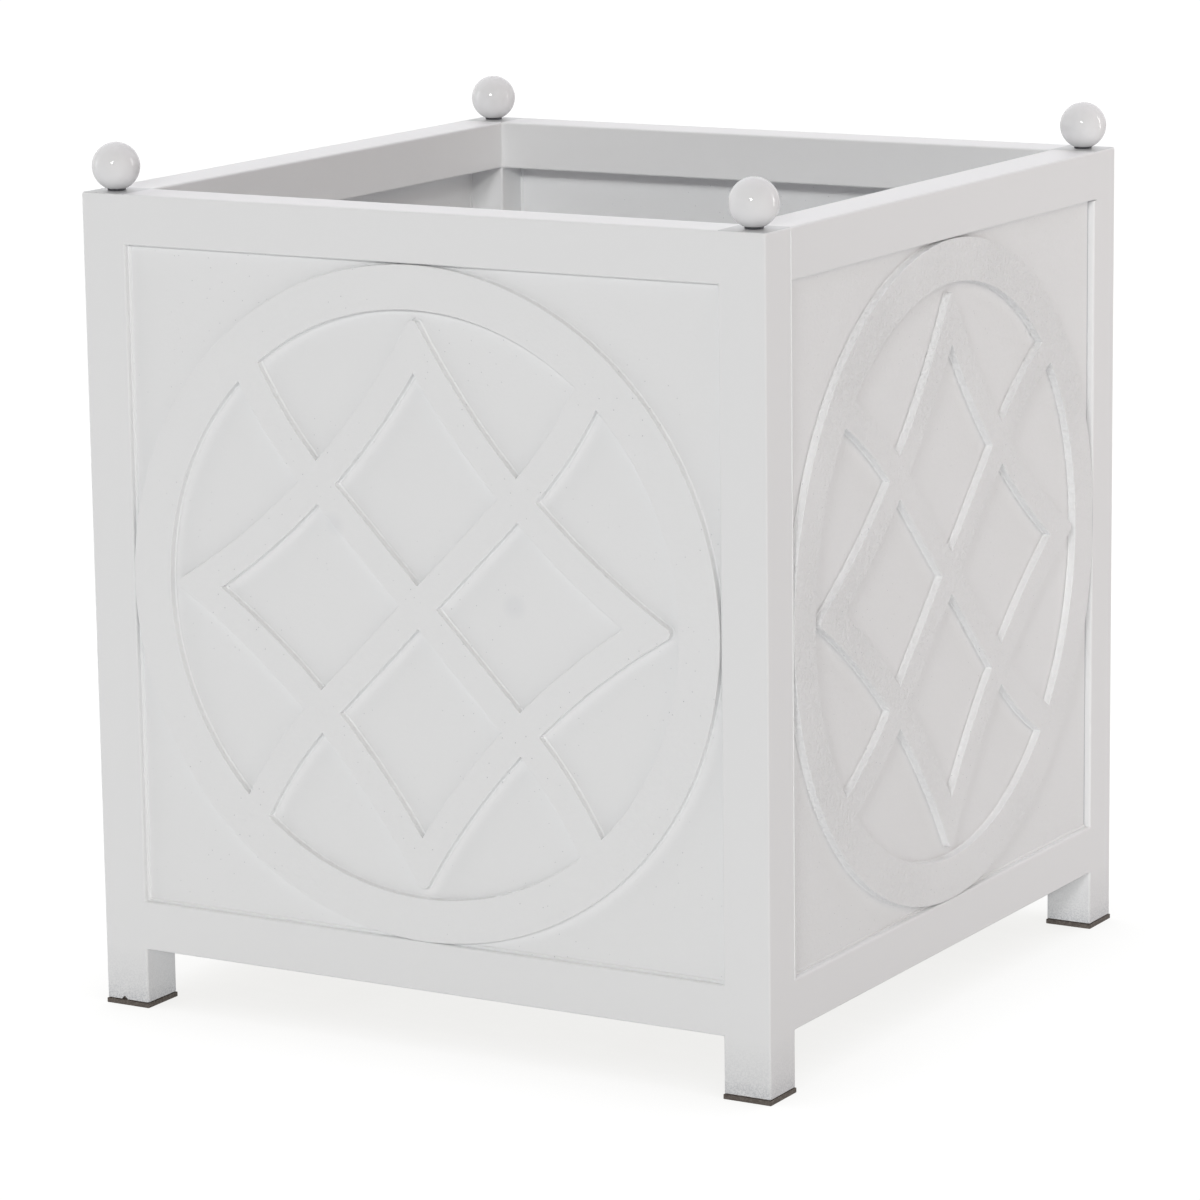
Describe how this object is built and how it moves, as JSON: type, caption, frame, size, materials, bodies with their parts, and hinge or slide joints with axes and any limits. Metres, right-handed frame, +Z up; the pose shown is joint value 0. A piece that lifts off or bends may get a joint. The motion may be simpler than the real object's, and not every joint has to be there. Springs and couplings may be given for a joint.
{
  "type": "versailles planter",
  "caption": "Square Versailles planter box: welded steel tube frame, recessed sheet sides with ring and star ornament, ball finials and rubber feet, open at the top.",
  "frame": {"origin": "centre of the footprint, on the ground under the feet", "axes": "+Z up, +X to the right and -Y towards the viewer of the front side, which is the side whose diagonal bars flare upright"},
  "size_m": [0.6114, 0.6114, 0.698],
  "materials": {
    "frame": "satin off-white paint on steel tube",
    "panel": "satin off-white paint on steel sheet",
    "ornament": "satin off-white paint on cut steel plate, slightly rough",
    "finial": "gloss off-white paint on steel ball",
    "fastener": "zinc-plated steel",
    "foot": "dark brown-grey moulded rubber",
    "floor": "matt off-white paint on steel"
  },
  "bodies": {
    "root": {"front_left_post": "frame", "front_right_post": "frame", "back_right_post": "frame", "back_left_post": "frame", "front_left_post_cap": "frame", "front_right_post_cap": "frame", "back_right_post_cap": "frame", "back_left_post_cap": "frame", "front_top_rail": "frame", "right_top_rail": "frame", "back_top_rail": "frame", "left_top_rail": "frame", "front_bottom_rail": "frame", "right_bottom_rail": "frame", "back_bottom_rail": "frame", "left_bottom_rail": "frame", "front_panel": "panel", "right_panel": "panel", "back_panel": "panel", "left_panel": "panel", "front_ornament": "ornament", "right_ornament": "ornament", "back_ornament": "ornament", "left_ornament": "ornament", "front_left_ball_finial": "finial", "front_right_ball_finial": "finial", "back_right_ball_finial": "finial", "back_left_ball_finial": "finial", "front_left_finial_stud": "fastener", "front_right_finial_stud": "fastener", "back_right_finial_stud": "fastener", "back_left_finial_stud": "fastener", "front_left_finial_nut": "fastener", "front_right_finial_nut": "fastener", "back_right_finial_nut": "fastener", "back_left_finial_nut": "fastener", "front_left_foot": "foot", "front_right_foot": "foot", "back_right_foot": "foot", "back_left_foot": "foot", "floor_plate": "floor", "floor_brace": "floor", "front_floor_ledge": "floor", "right_floor_ledge": "floor", "back_floor_ledge": "floor", "left_floor_ledge": "floor"}
  },
  "joints": []
}
